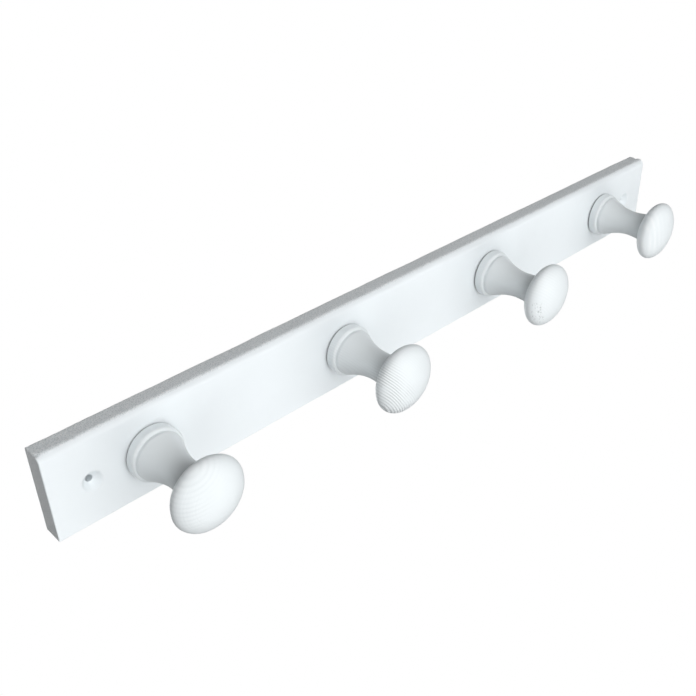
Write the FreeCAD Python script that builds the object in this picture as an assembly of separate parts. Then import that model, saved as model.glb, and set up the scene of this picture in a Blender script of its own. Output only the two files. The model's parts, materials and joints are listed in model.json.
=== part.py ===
"""Wall coat rail: a painted softwood board with turned pegs screwed on from behind.

Millimetres.  The origin is the centre of the board's back face, the face that lies on the wall.
+X runs along the rail, the pegs point towards -Y, and +Z is up.
"""
import FreeCAD, Part
import math
import os
from FreeCAD import Vector

# --- Board -------------------------------------------------------------------------------------
RAIL_LENGTH = 600.0
RAIL_HEIGHT = 60.0
RAIL_THICKNESS = 15.0
TOP_FRONT_ROUND = 5.0        # the upper front edge is planed to a quarter round
TOP_BACK_ROUND = 1.5
ARRIS_ROUND = 0.4            # the other edges only have their sharpness sanded off

# --- Countersunk holes for the two wall screws ---------------------------------------------------
WALL_HOLE_FROM_END = 26.5
WALL_HOLE_DROP = 1.5         # drilled on one line with the pegs
WALL_HOLE_DIAMETER = 4.5
WALL_SINK_DIAMETER = 13.0    # mouth of the 90 degree countersink in the front face

# --- Where the pegs stand ----------------------------------------------------------------------
PEG_COUNT = 4
FIRST_PEG_FROM_END = 66.0
PEG_DROP = 1.5               # peg centres below the board's mid-height

# --- Turned peg: distances are measured out from the board's front face ---------------------------
PEG_LENGTH = 65.2
COLLAR_DIAMETER = 36.0
COLLAR_DEPTH = 7.6
COLLAR_FOOT_ROUND = 0.5
COLLAR_EDGE_ROUND = 1.3
GROOVE_WIDTH = 2.0           # groove turned between the collar and the neck
GROOVE_DEPTH = 0.6
BEAD_ROUND = 0.5
WAIST_DIAMETER = 20.3
WAIST_FROM_HEAD = 14.5       # from the thinnest place to where the neck runs into the head
NECK_FLARE_ANGLE = 25.7      # degrees between the neck's start and the peg's axis
NECK_HEAD_FLARE = 1.8        # how much the neck's radius grows again between waist and head
NECK_HEAD_FILLET = 1.6
HEAD_DIAMETER = 48.0
HEAD_FRONT_DEPTH = 10.2      # rim to crown
HEAD_BACK_DEPTH = 9.7        # half-axis of the head's underside

# --- Countersunk wood screw, driven from the back of the board into the peg ------------------------
SCREW_LENGTH = 40.0
SCREW_HEAD_DIAMETER = 8.8
SCREW_HEAD_LAND = 0.4        # straight edge of the head above its cone
SCREW_SHANK_DIAMETER = 3.2
SCREW_CORE_DIAMETER = 2.9
THREAD_DIAMETER = 4.5
THREAD_LENGTH = 25.0
THREAD_PITCH = 2.2
THREAD_CREST = 0.12
THREAD_FLANK_ANGLE = 20.0    # degrees between a flank and the plane across the screw
THREAD_ROOT_RADIUS = 0.6     # the thread starts this deep, inside the core
TIP_LENGTH = 5.0
TIP_RADIUS = 0.15
RECESS_SPAN = 4.6            # cross recess: across opposite wings
RECESS_BOTTOM_SPAN = 1.8
RECESS_WING = 1.0
RECESS_DEPTH = 2.4

# --- Fits --------------------------------------------------------------------------------------
SCREW_HEAD_SUNK = 0.5        # the head lies this far under the back face, clear of the wall
SCREW_HOLE_CLEARANCE = 0.25  # round the thread, where it passes through the board
PILOT_CLEARANCE = 0.05       # round the shank, in the peg
PILOT_SPARE_DEPTH = 3.0      # pilot hole beyond the screw's tip

# --- What follows from those sizes ----------------------------------------------------------------
SINK_HALF_ANGLE = 45.0       # all screw heads and countersinks are 90 degree cones
CUT_PAST = 1.0               # how far a cutting tool runs past the face it starts from
RIDGE_SPARE = 0.12           # the thread's ridge is swept this much prouder, then trimmed to size
NEAR = 1e-3
FRONT_Y = -RAIL_THICKNESS
OUTWARD = Vector(0, -1, 0)
SCREW_HEAD_Y = -SCREW_HEAD_SUNK
SCREW_HOLE_RADIUS = THREAD_DIAMETER / 2 + SCREW_HOLE_CLEARANCE
PILOT_RADIUS = max(SCREW_SHANK_DIAMETER, SCREW_CORE_DIAMETER) / 2 + PILOT_CLEARANCE
PILOT_DEPTH = SCREW_HEAD_SUNK + SCREW_LENGTH - RAIL_THICKNESS + PILOT_SPARE_DEPTH


def peg_positions():
    """Centres of the pegs in the board's front face, evenly spaced between the end margins."""
    first = -RAIL_LENGTH / 2 + FIRST_PEG_FROM_END
    spacing = -2 * first / (PEG_COUNT - 1)
    return [Vector(first + index * spacing, FRONT_Y, -PEG_DROP) for index in range(PEG_COUNT)]


def wall_hole_positions():
    """Centres of the two wall-screw holes in the board's front face."""
    reach = RAIL_LENGTH / 2 - WALL_HOLE_FROM_END
    return [Vector(side * reach, FRONT_Y, -WALL_HOLE_DROP) for side in (-1, 1)]


def line(start, end):
    return Part.LineSegment(start, end).toShape()


def arc(start, middle, end):
    return Part.Arc(start, middle, end).toShape()


def polygon(points):
    """Closed run of straight edges through the points."""
    return [line(start, end) for start, end in zip(points, points[1:] + points[:1])]


def turned(edges, base=Vector(0, 0, 0), axis=OUTWARD):
    """Solid made by turning a closed outline once round the axis."""
    outline = Part.Wire(Part.__sortEdges__(edges))
    return Part.Face(outline).revolve(base, axis, 360)


def on_lathe(radius, distance):
    """A point of a turned outline: radius from the axis, distance out along it."""
    return Vector(radius, -distance, 0)


def cone(top, top_radius, bottom_radius, direction):
    """90 degree cone that narrows from top_radius at the point top, along the direction."""
    height = (top_radius - bottom_radius) / math.tan(math.radians(SINK_HALF_ANGLE))
    return Part.makeCone(top_radius, bottom_radius, height, top, direction)


# --- Board ---------------------------------------------------------------------------------------
def edges_along(solid, y, z):
    """The edges of the board that run its whole length at this y and z."""
    found = []
    for edge in solid.Edges:
        middle = edge.CenterOfMass
        if abs(middle.y - y) < NEAR and abs(middle.z - z) < NEAR:
            found.append(edge)
    return found


def end_edges(solid):
    """Every edge that bounds the board's two end faces."""
    reach = RAIL_LENGTH / 2
    return [edge for edge in solid.Edges
            if all(abs(abs(vertex.X) - reach) < NEAR for vertex in edge.Vertexes)]


def board_blank():
    """The board before drilling, with its edges rounded."""
    half = RAIL_HEIGHT / 2
    corner = Vector(-RAIL_LENGTH / 2, FRONT_Y, -half)
    blank = Part.makeBox(RAIL_LENGTH, RAIL_THICKNESS, RAIL_HEIGHT, corner)
    rounds = (
        (FRONT_Y, half, TOP_FRONT_ROUND),
        (0.0, half, TOP_BACK_ROUND),
        (FRONT_Y, -half, ARRIS_ROUND),
        (0.0, -half, ARRIS_ROUND),
    )
    for y, z, radius in rounds:
        blank = blank.makeFillet(radius, edges_along(blank, y, z))
    return blank.makeFillet(ARRIS_ROUND, end_edges(blank))


def wall_hole(position):
    """Cutter for a wall screw: a through hole with its countersink in the front face."""
    start = position + OUTWARD * CUT_PAST
    inward = OUTWARD * -1
    hole = Part.makeCylinder(WALL_HOLE_DIAMETER / 2, RAIL_THICKNESS + 2 * CUT_PAST, start, inward)
    sink = cone(start, WALL_SINK_DIAMETER / 2 + CUT_PAST, WALL_HOLE_DIAMETER / 2, inward)
    return hole.fuse(sink)


def peg_screw_hole(position):
    """Cutter for a peg's screw: a clearance hole with a seat for the head in the back face."""
    start = Vector(position.x, CUT_PAST, position.z)
    hole = Part.makeCylinder(SCREW_HOLE_RADIUS, RAIL_THICKNESS + 2 * CUT_PAST, start, OUTWARD)
    seat_mouth = SCREW_HEAD_DIAMETER / 2 + SCREW_HEAD_SUNK + SCREW_HEAD_LAND
    sink = cone(start, seat_mouth + CUT_PAST, SCREW_HOLE_RADIUS, OUTWARD)
    return hole.fuse(sink)


def backboard():
    board = board_blank()
    cutters = [wall_hole(position) for position in wall_hole_positions()]
    cutters += [peg_screw_hole(position) for position in peg_positions()]
    return board.cut(cutters)


# --- Peg -----------------------------------------------------------------------------------------
def collar_edges():
    """The collar, from the centre of its foot out to the groove. Returns edges and the end radius."""
    radius = COLLAR_DIAMETER / 2
    lip = radius - COLLAR_EDGE_ROUND
    slant = 1 - math.sqrt(0.5)
    foot_middle = on_lathe(radius - COLLAR_FOOT_ROUND * slant, COLLAR_FOOT_ROUND * slant)
    edge_middle = on_lathe(radius - COLLAR_EDGE_ROUND * slant, COLLAR_DEPTH - COLLAR_EDGE_ROUND * slant)
    edges = [
        line(on_lathe(0, 0), on_lathe(radius - COLLAR_FOOT_ROUND, 0)),
        arc(on_lathe(radius - COLLAR_FOOT_ROUND, 0), foot_middle, on_lathe(radius, COLLAR_FOOT_ROUND)),
        line(on_lathe(radius, COLLAR_FOOT_ROUND), on_lathe(radius, COLLAR_DEPTH - COLLAR_EDGE_ROUND)),
        arc(on_lathe(radius, COLLAR_DEPTH - COLLAR_EDGE_ROUND), edge_middle, on_lathe(lip, COLLAR_DEPTH)),
    ]
    return edges, lip


def neck_edges(lip, head_place):
    """The groove, the neck's sweep in to the waist and its flare out to the head."""
    start = COLLAR_DEPTH + GROOVE_WIDTH
    waist_radius = WAIST_DIAMETER / 2
    waist_place = head_place - WAIST_FROM_HEAD
    third = (waist_place - start) / 3
    drop = third * math.tan(math.radians(NECK_FLARE_ANGLE))
    sweep = Part.BezierCurve()
    sweep.setPoles([
        on_lathe(lip, start),
        on_lathe(lip - drop, start + third),
        on_lathe(waist_radius, waist_place - third),
        on_lathe(waist_radius, waist_place),
    ])
    flare = (WAIST_FROM_HEAD ** 2 + NECK_HEAD_FLARE ** 2) / (2 * NECK_HEAD_FLARE)
    half_turn = math.asin(WAIST_FROM_HEAD / flare) / 2
    flare_middle = on_lathe(
        waist_radius + flare * (1 - math.cos(half_turn)), waist_place + flare * math.sin(half_turn))
    return [
        arc(on_lathe(lip, COLLAR_DEPTH),
            on_lathe(lip - GROOVE_DEPTH, COLLAR_DEPTH + GROOVE_WIDTH / 2),
            on_lathe(lip, start)),
        sweep.toShape(),
        arc(on_lathe(waist_radius, waist_place), flare_middle,
            on_lathe(waist_radius + NECK_HEAD_FLARE, head_place)),
    ]


def head_edges(neck_turn):
    """The mushroom head: part of an ellipse under the rim and a quarter of one over it.

    Both are kept as splines, because an exported ellipse loses its crown when it is turned.
    """
    rim_place = PEG_LENGTH - HEAD_FRONT_DEPTH
    centre = on_lathe(0, rim_place)
    rim = on_lathe(HEAD_DIAMETER / 2, rim_place)
    underside = Part.Ellipse(rim, on_lathe(0, rim_place - HEAD_BACK_DEPTH), centre)
    crown = Part.Ellipse(rim, on_lathe(0, PEG_LENGTH), centre)
    return [
        Part.Arc(underside, 0, neck_turn).toBSpline().toShape(),
        Part.Arc(crown, 0, math.pi / 2).toBSpline().toShape(),
        line(on_lathe(0, PEG_LENGTH), on_lathe(0, 0)),
    ]


def ring_edges(solid, radius, distance):
    """The rings of a turned solid that pass through this point of its outline."""
    place = on_lathe(radius, distance)
    return [edge for edge in solid.Edges
            if edge.isClosed() and edge.Vertexes[0].Point.distanceToPoint(place) < NEAR]


def peg():
    """A turned peg standing on the origin, with the pilot hole for its screw."""
    neck_end = WAIST_DIAMETER / 2 + NECK_HEAD_FLARE
    neck_turn = math.acos(neck_end / (HEAD_DIAMETER / 2))
    head_place = PEG_LENGTH - HEAD_FRONT_DEPTH - HEAD_BACK_DEPTH * math.sin(neck_turn)
    collar, lip = collar_edges()
    solid = turned(collar + neck_edges(lip, head_place) + head_edges(neck_turn))
    bead = ring_edges(solid, lip, COLLAR_DEPTH + GROOVE_WIDTH)
    solid = solid.makeFillet(BEAD_ROUND, bead)
    solid = solid.makeFillet(NECK_HEAD_FILLET, ring_edges(solid, neck_end, head_place))
    pilot = Part.makeCylinder(PILOT_RADIUS, PILOT_DEPTH + CUT_PAST, OUTWARD * -CUT_PAST, OUTWARD)
    pilot_end = cone(OUTWARD * PILOT_DEPTH, PILOT_RADIUS, 0, OUTWARD)
    return solid.cut(pilot.fuse(pilot_end))


# --- Peg screw -----------------------------------------------------------------------------------
def screw_body():
    """Head, shank, core and point of the screw, turned about the axis, its head on the origin."""
    head = SCREW_HEAD_DIAMETER / 2
    shank = SCREW_SHANK_DIAMETER / 2
    core = SCREW_CORE_DIAMETER / 2
    cone_end = SCREW_HEAD_LAND + head - shank
    thread_start = SCREW_LENGTH - THREAD_LENGTH
    return turned(polygon([
        on_lathe(0, 0),
        on_lathe(head, 0),
        on_lathe(head, SCREW_HEAD_LAND),
        on_lathe(shank, cone_end),
        on_lathe(shank, thread_start),
        on_lathe(core, thread_start + shank - core),
        on_lathe(core, SCREW_LENGTH - TIP_LENGTH),
        on_lathe(TIP_RADIUS, SCREW_LENGTH),
        on_lathe(0, SCREW_LENGTH),
    ]))


def thread_envelope():
    """The space that the thread fills: full width, run out at its start and at the point."""
    core = SCREW_CORE_DIAMETER / 2
    crest = THREAD_DIAMETER / 2
    start = SCREW_LENGTH - THREAD_LENGTH
    return turned(polygon([
        on_lathe(0, start),
        on_lathe(core, start),
        on_lathe(crest, start + THREAD_PITCH),
        on_lathe(crest, SCREW_LENGTH - TIP_LENGTH),
        on_lathe(TIP_RADIUS, SCREW_LENGTH - TIP_RADIUS),
        on_lathe(0, SCREW_LENGTH - TIP_RADIUS),
    ]))


def thread_ridge():
    """One helical ridge round the screw's axis, a little prouder than the thread it is cut to."""
    start = SCREW_LENGTH - THREAD_LENGTH
    crest = THREAD_DIAMETER / 2
    peak = crest + RIDGE_SPARE
    taper = math.tan(math.radians(THREAD_FLANK_ANGLE))
    half_root = THREAD_CREST / 2 + (crest - THREAD_ROOT_RADIUS) * taper
    half_peak = THREAD_CREST / 2 - RIDGE_SPARE * taper
    straight = 0
    helix = Part.makeLongHelix(THREAD_PITCH, THREAD_LENGTH, peak, straight)
    section = Part.Wire(polygon([
        Vector(THREAD_ROOT_RADIUS, 0, -half_root),
        Vector(peak, 0, -half_peak),
        Vector(peak, 0, half_peak),
        Vector(THREAD_ROOT_RADIUS, 0, half_root),
    ]))
    ridge = Part.Wire(helix.Edges).makePipeShell([section], True, True)
    ridge.rotate(Vector(0, 0, 0), Vector(1, 0, 0), 90)
    ridge.translate(OUTWARD * start)
    return ridge


def cross_recess():
    """Cutter for the driver's cross: two tapered blades at right angles."""
    top = RECESS_SPAN / 2
    bottom = RECESS_BOTTOM_SPAN / 2
    blade = Part.Face(Part.Wire(polygon([
        Vector(-top, 0, -RECESS_WING / 2),
        Vector(top, 0, -RECESS_WING / 2),
        Vector(bottom, -RECESS_DEPTH, -RECESS_WING / 2),
        Vector(-bottom, -RECESS_DEPTH, -RECESS_WING / 2),
    ]))).extrude(Vector(0, 0, RECESS_WING))
    crossing = blade.copy()
    crossing.rotate(Vector(0, 0, 0), OUTWARD, 90)
    return blade.fuse(crossing)


def peg_screw():
    """The whole screw, its head's flat face on the origin and its point towards -Y."""
    thread = thread_ridge().common(thread_envelope())
    return screw_body().fuse(thread).cut(cross_recess())


# --- Assembly ------------------------------------------------------------------------------------
def moved(solid, place):
    copy = solid.copy()
    copy.translate(place)
    return copy


def build():
    """Every piece by its name."""
    one_peg = peg()
    one_screw = peg_screw()
    pieces = {"backboard": backboard()}
    for number, place in enumerate(peg_positions(), start=1):
        pieces["peg_%d" % number] = moved(one_peg, place)
        pieces["peg_screw_%d" % number] = moved(one_screw, Vector(place.x, SCREW_HEAD_Y, place.z))
    return pieces


os.makedirs("parts", exist_ok=True)
for name, shape in build().items():
    shape.exportStep("parts/%s.step" % name)
    print("%-14s solids %d  valid %s  volume %.1f mm3"
          % (name, len(shape.Solids), shape.isValid(), shape.Volume))
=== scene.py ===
"""A white-painted wooden coat rail: one softwood board and four turned pegs, screwed on from behind.

Everything is in metres in the rail's own frame: +X along the rail, the pegs towards -Y, +Z up, and the
origin at the centre of the back face.  Sizes that the frame gives are read from it, and the rest are
fields of the class that makes the piece.
"""
import json
import logging
import math
from dataclasses import dataclass
from enum import Enum

import bmesh
import bpy
import numpy as np
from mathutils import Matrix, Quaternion, Vector


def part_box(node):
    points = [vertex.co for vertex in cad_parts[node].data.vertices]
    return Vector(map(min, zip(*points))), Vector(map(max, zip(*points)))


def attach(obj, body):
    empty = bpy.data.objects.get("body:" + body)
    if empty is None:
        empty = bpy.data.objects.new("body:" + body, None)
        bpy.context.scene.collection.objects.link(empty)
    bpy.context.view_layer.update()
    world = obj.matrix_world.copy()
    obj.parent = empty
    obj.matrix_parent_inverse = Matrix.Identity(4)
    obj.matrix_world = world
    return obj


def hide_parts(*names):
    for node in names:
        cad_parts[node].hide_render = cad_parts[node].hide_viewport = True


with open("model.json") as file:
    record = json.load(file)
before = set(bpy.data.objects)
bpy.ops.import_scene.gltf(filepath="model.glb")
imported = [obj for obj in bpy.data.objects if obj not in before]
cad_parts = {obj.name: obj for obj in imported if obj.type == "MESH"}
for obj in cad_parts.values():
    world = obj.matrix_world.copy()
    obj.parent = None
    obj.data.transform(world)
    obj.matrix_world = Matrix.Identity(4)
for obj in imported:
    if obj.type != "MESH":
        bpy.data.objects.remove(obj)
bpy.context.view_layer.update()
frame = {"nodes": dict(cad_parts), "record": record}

Pair = tuple[float, float]
Triple = tuple[float, float, float]
Socket = bpy.types.NodeSocket

MM = 0.001
BODY = "root"
LOG = logging.getLogger("coat_rail")


# --- Surfaces ---
@dataclass
class Surface:
    """A closed surface of four-sided and three-sided faces.

    Fields:
        points: vertex positions, one row each.
        quads: four vertex numbers a row.
        triangles: three vertex numbers a row.
        shade_and_tone: how much each vertex is darkened, from 0 to 1: painted shade in joints,
        holes, pits and throats, the chips' darkening and the end grain's greyer tone.
        coarse: how rough the wood under the paint is at each vertex, from 0 to 1.
    """

    points: np.ndarray
    quads: np.ndarray
    triangles: np.ndarray
    shade_and_tone: np.ndarray
    coarse: np.ndarray


def smoothstep(low: float, high: float, value: np.ndarray) -> np.ndarray:
    """The curve 3t^2 - 2t^3 that rises from 0 at low to 1 at high.

    Args:
        low: where the rise starts.
        high: where it ends.
        value: where to evaluate it.

    Returns:
        The height of the curve at each value.
    """
    t = np.clip((value - low) / (high - low), 0.0, 1.0)
    return t * t * (3.0 - 2.0 * t)


def softplus(value: np.ndarray, softness: float) -> np.ndarray:
    """The ramp max(value, 0) with its corner rounded: softness * log(1 + exp(value / softness)).

    Args:
        value: where to evaluate it.
        softness: the size of the rounded corner.

    Returns:
        The height of the ramp at each value.
    """
    return softness * np.logaddexp(0.0, value / softness)


def grid_quads(rows: int, columns: int) -> np.ndarray:
    """Faces between neighbouring points of a grid numbered row by row, each row closed into a ring.

    Args:
        rows: how many rows of points.
        columns: how many points a row has.

    Returns:
        Four vertex numbers a face.
    """
    row = np.arange(rows - 1)[:, None] * columns
    column = np.arange(columns)[None, :]
    after = (column + 1) % columns
    corners = (row + column, row + after, row + columns + after, row + columns + column)
    return np.stack(corners, -1).reshape(-1, 4)


@dataclass(frozen=True)
class Ripple:
    """A smooth random field: a sum of plane waves sin(k.p + phase) with random directions and lengths.

    Fields:
        seed: which field of the many.
        shortest: shortest wavelength.
        longest: longest wavelength.
        waves: how many waves are summed.
        stretch: how much longer the waves are along X, Y and Z.
    """

    seed: int
    shortest: float
    longest: float
    waves: int = 28
    stretch: Triple = (1.0, 1.0, 1.0)

    def at(self, points: np.ndarray) -> np.ndarray:
        """The field's height at each point, about 1 in root mean square.

        Args:
            points: positions, the last axis being X, Y, Z.

        Returns:
            One height a point.
        """
        rng = np.random.default_rng(self.seed)
        heading = rng.normal(size=(self.waves, 3))
        heading /= np.linalg.norm(heading, axis=1, keepdims=True)
        length = np.exp(rng.uniform(math.log(self.shortest), math.log(self.longest), self.waves))
        phase = rng.uniform(0.0, math.tau, self.waves)
        turns = heading * (math.tau / length)[:, None] / np.array(self.stretch)
        return np.sin(points @ turns.T + phase).sum(-1) * math.sqrt(2.0 / self.waves)


@dataclass(frozen=True)
class Dent:
    """A small chip or pit: a round hollow that fades as a bell curve.

    Fields:
        centre: where it is.
        radius: its radius.
        depth: how deep its middle is.
    """

    centre: Triple
    radius: float
    depth: float

    def at(self, points: np.ndarray) -> np.ndarray:
        """The hollow's depth at each point: depth * exp(-(distance / radius)^2)."""
        away = ((points - np.array(self.centre)) ** 2).sum(-1)
        return self.depth * np.exp(-away / self.radius**2)


# --- Finishes ---
class Nodes:
    """A short way to lay out a material's nodes and join them."""

    def __init__(self, name: str) -> None:
        """Starts a material with an empty node tree and a Principled shader on its output.

        Args:
            name: the material's name.
        """
        self.material = bpy.data.materials.new(name)
        self.material.use_nodes = True
        self.tree = self.material.node_tree
        self.tree.nodes.clear()
        self.shader = self.add("ShaderNodeBsdfPrincipled")
        output = self.add("ShaderNodeOutputMaterial")
        self.join(self.shader.outputs["BSDF"], output.inputs["Surface"])
        self.place = self.add("ShaderNodeTexCoord").outputs["Object"]

    def add(self, kind: str, **settings: object) -> bpy.types.Node:
        """Adds one node and sets its properties.

        Args:
            kind: the node's type.
            settings: property names and values.

        Returns:
            The new node.
        """
        node = self.tree.nodes.new(kind)
        for key, value in settings.items():
            setattr(node, key, value)
        return node

    def join(self, start: Socket, end: Socket) -> None:
        """Links one socket to another."""
        self.tree.links.new(start, end)

    def noise(self, scale: float, detail: float, stretch: Triple = (1, 1, 1)) -> Socket:
        """Fractal noise over the piece, squeezed along the axes by stretch.

        Args:
            scale: features a metre.
            detail: octaves.
            stretch: multiplies the coordinates.

        Returns:
            The noise's value socket.
        """
        mapping = self.add("ShaderNodeMapping")
        mapping.inputs["Scale"].default_value = stretch
        self.join(self.place, mapping.inputs["Vector"])
        noise = self.add("ShaderNodeTexNoise")
        noise.inputs["Scale"].default_value = scale
        noise.inputs["Detail"].default_value = detail
        self.join(mapping.outputs["Vector"], noise.inputs["Vector"])
        return noise.outputs["Fac"]

    def span(self, value: Socket, start: float, end: float, low: float, high: float) -> Socket:
        """Maps a value's range start..end onto low..high, held at both ends.

        Args:
            value: the socket to map.
            start: input that gives low.
            end: input that gives high.
            low: result at start.
            high: result at end.

        Returns:
            The mapped socket.
        """
        node = self.add("ShaderNodeMapRange")
        for key, number in (("From Min", start), ("From Max", end), ("To Min", low), ("To Max", high)):
            node.inputs[key].default_value = number
        self.join(value, node.inputs["Value"])
        return node.outputs["Result"]

    def times(self, first: Socket, second: Socket) -> Socket:
        """The product of two values.

        Args:
            first: one factor.
            second: the other.

        Returns:
            The product's socket.
        """
        node = self.add("ShaderNodeMath", operation="MULTIPLY")
        self.join(first, node.inputs[0])
        self.join(second, node.inputs[1])
        return node.outputs[0]

    def beside(self, centre: Pair, heading: float) -> Socket:
        """How far a point lies from an axis along Y, measured towards one side.

        Args:
            centre: the axis' X and Z.
            heading: degrees from +X towards +Z of the side.

        Returns:
            The distance socket, negative on the other side.
        """
        shift = self.add("ShaderNodeVectorMath", operation="SUBTRACT")
        self.join(self.place, shift.inputs[0])
        shift.inputs[1].default_value = (centre[0], 0.0, centre[1])
        dot = self.add("ShaderNodeVectorMath", operation="DOT_PRODUCT")
        self.join(shift.outputs[0], dot.inputs[0])
        side = math.radians(heading)
        dot.inputs[1].default_value = (math.cos(side), 0.0, math.sin(side))
        return dot.outputs["Value"]

    def attribute(self, name: str) -> Socket:
        """A vertex value stored on the mesh."""
        return self.add("ShaderNodeAttribute", attribute_name=name).outputs["Fac"]

    def blend(self, amount: Socket, first: Socket | Triple, second: Socket | Triple) -> Socket:
        """Mixes two colours, each a colour or a socket, by an amount from 0 to 1.

        Args:
            amount: how much of the second.
            first: colour or socket at 0.
            second: colour or socket at 1.

        Returns:
            The mixed colour.
        """
        node = self.add("ShaderNodeMix", data_type="RGBA")
        self.join(amount, node.inputs["Factor"])
        for key, colour in ((6, first), (7, second)):
            if isinstance(colour, Socket):
                self.join(colour, node.inputs[key])
            else:
                node.inputs[key].default_value = (*colour, 1.0)
        return node.outputs[2]

    def bump(self, height: Socket, depth: float, under: Socket | None) -> Socket:
        """Raises the surface by a height field, on top of an earlier one.

        Args:
            height: the field, 0 to 1.
            depth: how far 1 stands above 0.
            under: the normal of the bump beneath, if there is one.

        Returns:
            The new normal.
        """
        node = self.add("ShaderNodeBump")
        node.inputs["Distance"].default_value = depth
        self.join(height, node.inputs["Height"])
        if under is not None:
            self.join(under, node.inputs["Normal"])
        return node.outputs["Normal"]


@dataclass(frozen=True)
class GrowthRings:
    """Growth rings that stand up through the paint, running along Y round a pith beside the axis.

    Fields:
        lie: degrees from +X to the rings' direction across the piece, towards +Z.
        spacing: distance between rings.
        pith: distance from the axis to the middle of the rings; negative is on the upper side.
        wander: how far the rings stray, in radians of their own pattern.
        strong_side: degrees from +X towards +Z of the side where they show most.
        depth: height of the ridges there.
        hollow_shade: painted shade in the hollows between the ridges there.
        ridge_highlight: painted highlight on the ridges there.
        width: share of the pattern that the hollows take.
    """

    lie: float
    spacing: float
    pith: float
    wander: float
    strong_side: float
    depth: float
    hollow_shade: float
    ridge_highlight: float
    width: float = 0.5

    def wave(self, nodes: Nodes, centre: Pair) -> Socket:
        """The ring pattern, 0 in a hollow and 1 on a ridge.

        Args:
            nodes: the material.
            centre: X and Z of the piece's axis.

        Returns:
            The pattern's socket.
        """
        angle = math.radians(self.lie)
        mapping = nodes.add("ShaderNodeMapping")
        pith_x = centre[0] + math.sin(angle) * self.pith
        pith_z = centre[1] - math.cos(angle) * self.pith
        mapping.inputs["Location"].default_value = (-pith_x, 0.0, -pith_z)
        nodes.join(nodes.place, mapping.inputs["Vector"])
        wave = nodes.add("ShaderNodeTexWave", wave_type="RINGS", rings_direction="Y", wave_profile="SIN")
        # at scale 1 the texture's rings lie tau / 20 apart
        wave.inputs["Scale"].default_value = math.tau / 20.0 / self.spacing
        wave.inputs["Distortion"].default_value = self.wander
        wave.inputs["Detail"].default_value = 2.0
        wave.inputs["Detail Scale"].default_value = 0.12
        nodes.join(mapping.outputs["Vector"], wave.inputs["Vector"])
        return wave.outputs["Fac"]

    def shows(self, nodes: Nodes, centre: Pair) -> Socket:
        """How strongly the rings show: most on the head's strong side, a trace elsewhere.

        Args:
            nodes: the material.
            centre: X and Z of the piece's axis.

        Returns:
            The strength's socket, from 0 to 1.
        """
        away = nodes.beside(centre, self.strong_side)
        side = nodes.span(away, 1 * MM, 13 * MM, 0.05, 1.0)
        patchy = nodes.span(nodes.noise(90.0, 2.0), 0.35, 0.6, 0.25, 1.0)
        split = nodes.add("ShaderNodeSeparateXYZ")
        nodes.join(nodes.place, split.inputs[0])
        head = nodes.span(split.outputs["Y"], -45 * MM, -60 * MM, 0.12, 1.0)
        return nodes.times(nodes.times(side, patchy), head)


@dataclass(frozen=True)
class PaintedWood:
    """White satin paint over softwood: brushed film, the wood's fibres under it, painted shade in corners.

    Fields:
        name: the material's name.
        colour: the paint.
        shaded: the colour that the painted shade darkens the paint towards.
        roughness: of the satin film.
        fibre: how the fibres' pattern is squeezed along X, Y and Z; small along the grain.
        fibre_depth: relief of the fibres.
        film_depth: relief of the paint film.
        coarse_depth: relief where the wood under the paint is rough.
        highlight_speck: painted highlight on the high points of rough wood.
        ridge_highlight_colour: painted highlight on the ridges of the growth rings.
        sheen: strength of the film's reflection.
    """

    name: str
    colour: Triple
    shaded: Triple
    roughness: float
    fibre: Triple
    fibre_depth: float
    film_depth: float
    coarse_depth: float
    highlight_speck: Triple = (0.98, 0.99, 1.0)
    ridge_highlight_colour: Triple = (0.97, 0.98, 0.99)
    sheen: float = 0.42

    def darker(self, share: float) -> Triple:
        """The paint's own colour, darkened to this share."""
        return tuple(share * c for c in self.colour)

    def make(self, rings: GrowthRings | None = None, centre: Pair = (0, 0)) -> bpy.types.Material:
        """Builds the material's nodes.

        Args:
            rings: the growth rings under the paint, if they show.
            centre: X and Z of the axis of the piece.

        Returns:
            The finished material.
        """
        nodes = Nodes(self.name)
        coarse = nodes.attribute("coarse")
        cloud = nodes.noise(35.0, 3.0)
        film = nodes.noise(900.0, 3.0)
        fibre = nodes.noise(1500.0, 4.0, self.fibre)
        grit = nodes.noise(1500.0, 3.0)
        tone = nodes.span(cloud, 0.3, 0.7, 0.0, 0.35)
        paint = nodes.blend(tone, self.colour, self.darker(0.955))
        hollows = nodes.times(nodes.span(grit, 0.47, 0.36, 0.0, 0.6), coarse)
        paint = nodes.blend(hollows, paint, self.darker(0.62))
        # painted highlight: light specks on the high points of rough wood
        highlight_specks = nodes.times(nodes.span(grit, 0.53, 0.62, 0.0, 1.0), coarse)
        paint = nodes.blend(highlight_specks, paint, self.highlight_speck)
        relief = nodes.bump(fibre, self.fibre_depth, None)
        if rings is not None:
            wave, shows = rings.wave(nodes, centre), rings.shows(nodes, centre)
            # painted shade in the rings' hollows and painted highlight on their ridges, strongest on the
            # side where the light grazes
            hollow = nodes.times(nodes.span(wave, 0.0, rings.width, rings.hollow_shade, 0.0), shows)
            paint = nodes.blend(hollow, paint, self.darker(0.25))
            ridge = nodes.times(nodes.span(wave, rings.width, 1.0, 0.0, rings.ridge_highlight), shows)
            paint = nodes.blend(ridge, paint, self.ridge_highlight_colour)
            relief = nodes.bump(nodes.times(wave, shows), rings.depth, relief)
        # painted shade, and the end grain's grey: the paint darkens towards shaded by each vertex's value
        paint = nodes.blend(nodes.attribute("shade_and_tone"), paint, self.shaded)
        nodes.join(paint, nodes.shader.inputs["Base Color"])
        spread = nodes.span(film, 0.3, 0.7, self.roughness - 0.05, self.roughness + 0.06)
        nodes.join(spread, nodes.shader.inputs["Roughness"])
        nodes.shader.inputs["Specular IOR Level"].default_value = self.sheen
        relief = nodes.bump(film, self.film_depth, relief)
        relief = nodes.bump(nodes.times(grit, coarse), self.coarse_depth, relief)
        nodes.join(relief, nodes.shader.inputs["Normal"])
        return nodes.material


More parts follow.
